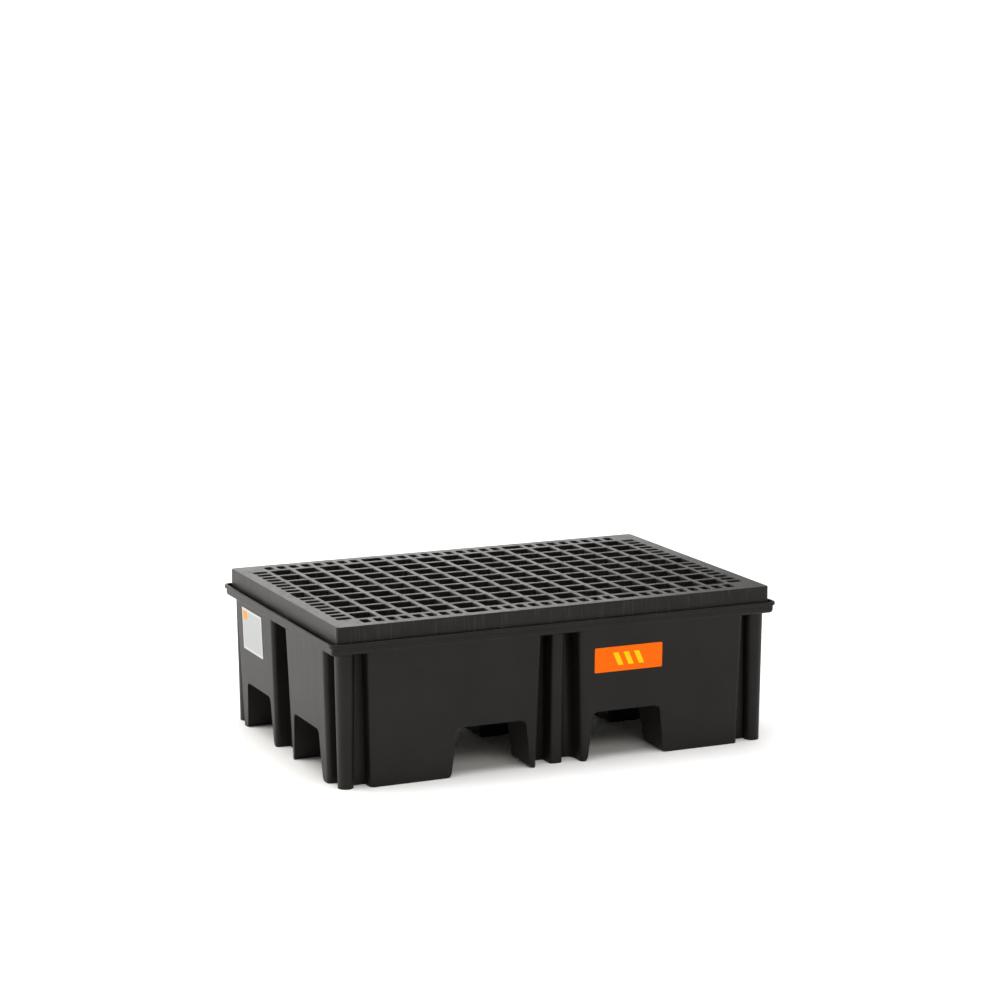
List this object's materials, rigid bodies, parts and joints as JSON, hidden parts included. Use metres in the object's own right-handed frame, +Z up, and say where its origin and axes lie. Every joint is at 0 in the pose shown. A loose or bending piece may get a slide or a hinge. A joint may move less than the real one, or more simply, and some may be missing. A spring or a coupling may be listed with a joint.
{
  "type": "spill containment pallet",
  "caption": "Low rectangular moulded sump on block feet with fork channels both ways and a lift-out slotted grating, for standing drums over a spill basin.",
  "frame": {"origin": "middle of the footprint, on the floor", "axes": "+X along the long side, +Y along the short side, away from the long side with the orange label, +Z up"},
  "size_m": [1.26, 0.84, 0.42],
  "materials": {
    "sump_plastic": "moulded black polyethylene, satin",
    "grating_plastic": "moulded black polyethylene, dusty matte",
    "orange_film": "orange self-adhesive film",
    "white_film": "white self-adhesive film"
  },
  "bodies": {
    "sump_body": {"sump_sides": "sump_plastic", "sump_ends": "sump_plastic", "sump_floor": "sump_plastic", "sump_pillars": "sump_plastic", "sump_feet": "sump_plastic", "front_label": "orange_film", "end_label": "white_film"},
    "grating_body": {"grating": "grating_plastic"}
  },
  "joints": [
    {"name": "grating_lift", "type": "slide", "parent": "sump_body", "child": "grating_body", "axis": [0, 0, 1], "range_m": [0, 0.3]}
  ]
}
